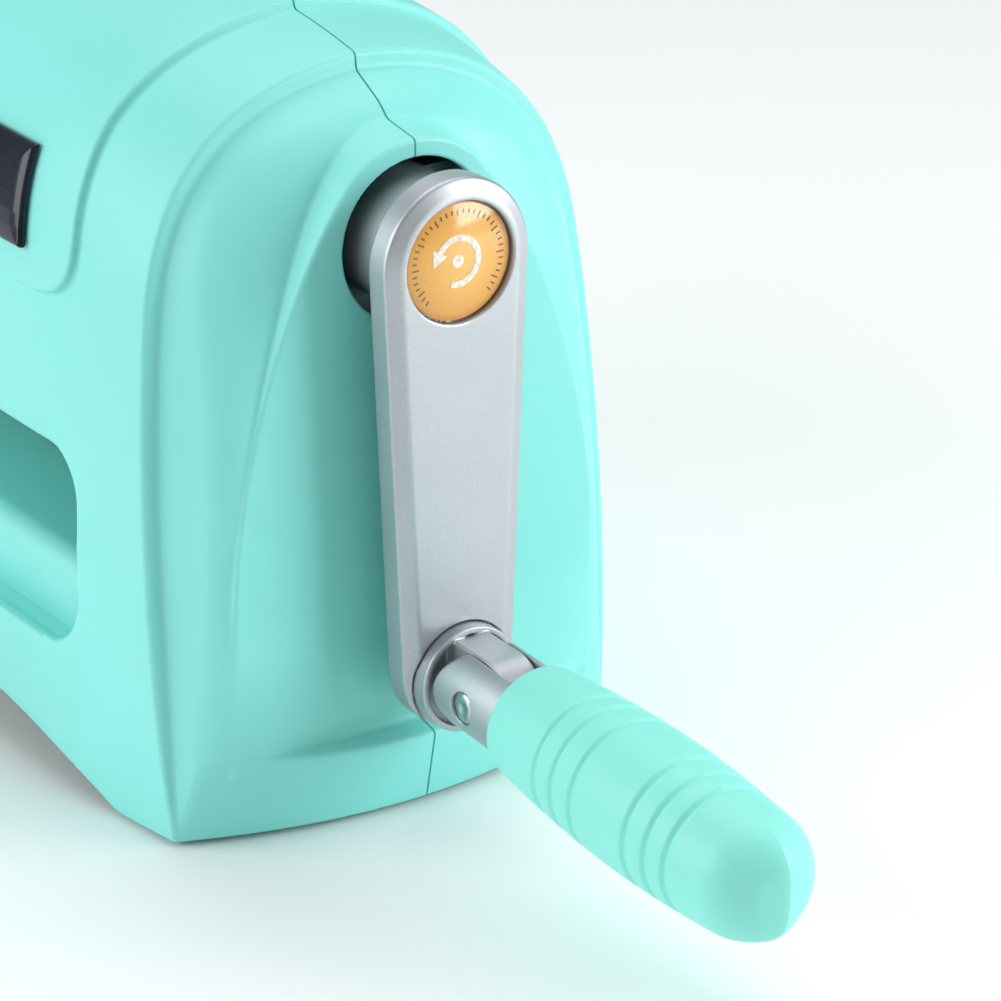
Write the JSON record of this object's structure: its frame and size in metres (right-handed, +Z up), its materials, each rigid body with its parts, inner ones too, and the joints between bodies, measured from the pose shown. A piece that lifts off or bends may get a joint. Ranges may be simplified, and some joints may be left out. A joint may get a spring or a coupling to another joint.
{
  "type": "hand-crank die cutting machine",
  "caption": "Hand-crank die cutting machine: arched two-shell casing with a feed slot through it, geared rollers, and a side crank with a folding, spinning grip.",
  "frame": {"origin": "middle of the machine's whole box, on the floor it stands on", "axes": "+Z up, +X along the rollers towards the crank, +Y towards the rear, so the badge and the front feed opening face -Y"},
  "size_m": [0.3986, 0.1358, 0.184],
  "materials": {
    "casing_plastic": "satin moulded plastic",
    "grip_plastic": "satin moulded plastic",
    "silver_paint": "fine metallic silver paint",
    "machined_steel": "turned and ground",
    "zinc_hardware": "bright zinc plate",
    "bush_bronze": "sintered bronze",
    "foot_rubber": "matt",
    "badge_gloss": "high gloss, domed",
    "orange_print": "printed disc",
    "clear_dome": "clear domed resin"
  },
  "bodies": {
    "casing": {"front_shell": "casing_plastic", "rear_shell": "casing_plastic", "badge": "badge_gloss", "base_plate": "zinc_hardware", "front_feed_table": "casing_plastic", "rear_feed_table": "casing_plastic", "right_side_plate": "machined_steel", "left_side_plate": "machined_steel", "bearing_plate": "machined_steel", "tie_rod_upper_front": "zinc_hardware", "tie_rod_upper_rear": "zinc_hardware", "tie_rod_lower_front": "zinc_hardware", "tie_rod_lower_rear": "zinc_hardware", "bearing_post_upper_front": "zinc_hardware", "bearing_post_upper_rear": "zinc_hardware", "bearing_post_lower_front": "zinc_hardware", "bearing_post_lower_rear": "zinc_hardware", "foot_front_left": "foot_rubber", "foot_front_right": "foot_rubber", "foot_rear_left": "foot_rubber", "foot_rear_right": "foot_rubber", "frame_screw_front_left": "zinc_hardware", "frame_screw_front_right": "zinc_hardware", "frame_screw_rear_left": "zinc_hardware", "frame_screw_rear_right": "zinc_hardware", "shell_screw_front_left": "zinc_hardware", "shell_screw_front_right": "zinc_hardware", "shell_screw_rear_left": "zinc_hardware", "shell_screw_rear_right": "zinc_hardware", "upper_bush_right": "bush_bronze", "upper_bush_left": "bush_bronze", "lower_bush_right": "bush_bronze", "lower_bush_left": "bush_bronze", "crank_bush_inner": "bush_bronze", "crank_bush_outer": "bush_bronze"},
    "upper_roller": {"upper_roller": "machined_steel", "upper_roller_clip": "zinc_hardware", "upper_gear": "machined_steel", "upper_gear_clip": "zinc_hardware"},
    "lower_roller": {"lower_roller": "machined_steel", "lower_roller_clip": "zinc_hardware", "lower_gear": "machined_steel", "lower_gear_clip": "zinc_hardware"},
    "crank": {"crank_shaft": "machined_steel", "drive_pinion": "machined_steel", "crank_arm": "silver_paint", "arm_screw": "zinc_hardware", "medallion_print": "orange_print", "medallion_dome": "clear_dome", "handle_socket": "silver_paint", "socket_screw": "zinc_hardware"},
    "handle": {"hinge_pin": "zinc_hardware", "handle_yoke": "silver_paint", "handle_spindle": "machined_steel"},
    "grip": {"grip": "grip_plastic"}
  },
  "joints": [
    {"name": "crank_turn", "type": "hinge", "parent": "casing", "child": "crank", "pos_m": [0.03192, 0.00038, 0.139], "axis": [1, 0, 0], "continuous": true},
    {"name": "handle_fold", "type": "hinge", "parent": "crank", "child": "handle", "pos_m": [0.08992, 0.00038, 0.0396], "axis": [0, -1, 0], "range_deg": [0, 89]},
    {"name": "grip_spin", "type": "hinge", "parent": "handle", "child": "grip", "pos_m": [0.08992, 0.00038, 0.0396], "axis": [0.9986, 0, -0.0523], "continuous": true},
    {"name": "upper_roller_turn", "type": "hinge", "parent": "casing", "child": "upper_roller", "pos_m": [-0.06808, 0.00038, 0.093], "axis": [1, 0, 0], "continuous": true},
    {"name": "lower_roller_turn", "type": "hinge", "parent": "casing", "child": "lower_roller", "pos_m": [-0.06808, 0.00038, 0.041], "axis": [1, 0, 0], "continuous": true}
  ],
  "couplings": [
    {"joint": "upper_roller_turn", "follows": "crank_turn", "ratio": -0.76923},
    {"joint": "lower_roller_turn", "follows": "crank_turn", "ratio": 0.76923}
  ]
}
